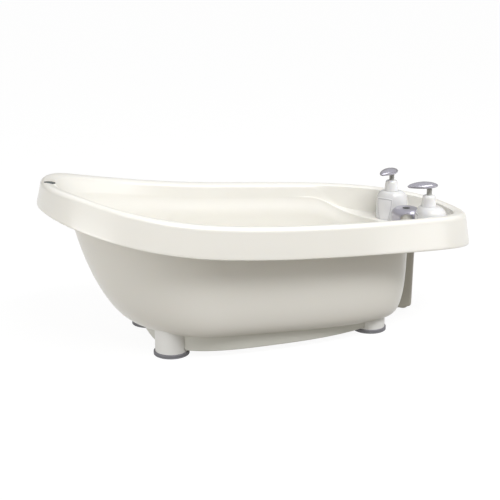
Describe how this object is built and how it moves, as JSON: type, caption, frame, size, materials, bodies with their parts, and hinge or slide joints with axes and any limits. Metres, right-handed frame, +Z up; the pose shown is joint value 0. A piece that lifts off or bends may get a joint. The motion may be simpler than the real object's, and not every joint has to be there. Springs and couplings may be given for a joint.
{
  "type": "baby bath on legs",
  "caption": "Baby bath on four legs with a deck at the foot end holding pump bottles, a turning drain knob and a drain column.",
  "frame": {"origin": "centre of the footprint, on the floor that the rubber feet rest on", "axes": "+X along the bath towards the foot end with the drain, +Y across it, +Z up"},
  "size_m": [0.96, 0.483, 0.3609],
  "materials": {
    "tub_plastic": "glossy moulded polypropylene",
    "tray_plastic": "satin moulded polypropylene",
    "leg_plastic": "satin moulded plastic",
    "foot_rubber": "matt rubber",
    "seal_rubber": "matt rubber",
    "steel": "stainless steel",
    "satin_grey": "satin metallic plastic",
    "stem_plastic": "satin plastic",
    "drain_plastic": "satin moulded polypropylene",
    "dark_plastic": "satin dark plastic",
    "dark_window": "glossy dark window",
    "bottle_plastic": "translucent white blow-moulded plastic",
    "collar_plastic": "glossy white plastic",
    "pump_plastic": "natural moulded plastic"
  },
  "bodies": {
    "tub": {"tub_shell": "tub_plastic", "base_tray": "tray_plastic", "leg_head_near": "leg_plastic", "leg_head_far": "leg_plastic", "leg_foot_near": "leg_plastic", "leg_foot_far": "leg_plastic", "foot_head_near": "foot_rubber", "foot_head_far": "foot_rubber", "foot_foot_near": "foot_rubber", "foot_foot_far": "foot_rubber", "leg_screws": "steel", "tray_screws": "steel", "drain_strainer": "satin_grey", "drain_seal": "seal_rubber", "drain_duct": "drain_plastic", "drain_housing": "drain_plastic", "outlet_spigot": "drain_plastic", "cam_bush": "tub_plastic", "housing_screws": "steel", "thermometer_bezel": "dark_plastic", "thermometer_window": "dark_window"},
    "valve": {"valve_rod": "steel", "valve_plug": "satin_grey", "valve_seal": "seal_rubber"},
    "knob": {"drain_knob": "satin_grey", "knob_cap": "dark_plastic"},
    "bottle_near": {"bottle_near": "bottle_plastic", "pump_collar_near": "collar_plastic", "pump_barrel_near": "pump_plastic", "dip_tube_near": "pump_plastic", "pump_spring_near": "steel"},
    "plunger_near": {"pump_stem_near": "stem_plastic"},
    "head_near": {"pump_head_near": "satin_grey"},
    "bottle_far": {"bottle_far": "bottle_plastic", "pump_collar_far": "collar_plastic", "pump_barrel_far": "pump_plastic", "dip_tube_far": "pump_plastic", "pump_spring_far": "steel"},
    "plunger_far": {"pump_stem_far": "stem_plastic"},
    "head_far": {"pump_head_far": "satin_grey"}
  },
  "joints": [
    {"name": "valve_lift", "type": "slide", "parent": "tub", "child": "valve", "axis": [0, 0, 1], "range_m": [0, 0.008]},
    {"name": "knob_turn", "type": "hinge", "parent": "valve", "child": "knob", "pos_m": [0.352, 0, 0.22], "axis": [0, 0, 1], "range_deg": [0, 90]},
    {"name": "bottle_near_lift", "type": "slide", "parent": "tub", "child": "bottle_near", "axis": [0, 0, 1], "range_m": [0, 0.08]},
    {"name": "pump_near_press", "type": "slide", "parent": "bottle_near", "child": "plunger_near", "axis": [0, 0, -1], "range_m": [0, 0.01], "stiffness_N_per_m": 400, "springref_m": -0.005, "deforming": ["pump_spring_near"]},
    {"name": "pump_near_turn", "type": "hinge", "parent": "plunger_near", "child": "head_near", "pos_m": [0.36015, -0.08754, 0.307], "axis": [0, 0, 1], "continuous": true},
    {"name": "bottle_far_lift", "type": "slide", "parent": "tub", "child": "bottle_far", "axis": [0, 0, 1], "range_m": [0, 0.08]},
    {"name": "pump_far_press", "type": "slide", "parent": "bottle_far", "child": "plunger_far", "axis": [0, 0, -1], "range_m": [0, 0.01], "stiffness_N_per_m": 400, "springref_m": -0.005, "deforming": ["pump_spring_far"]},
    {"name": "pump_far_turn", "type": "hinge", "parent": "plunger_far", "child": "head_far", "pos_m": [0.35536, 0.08414, 0.307], "axis": [0, 0, 1], "continuous": true}
  ],
  "couplings": [
    {"joint": "valve_lift", "follows": "knob_turn", "m_per_rad": 0.005093}
  ]
}
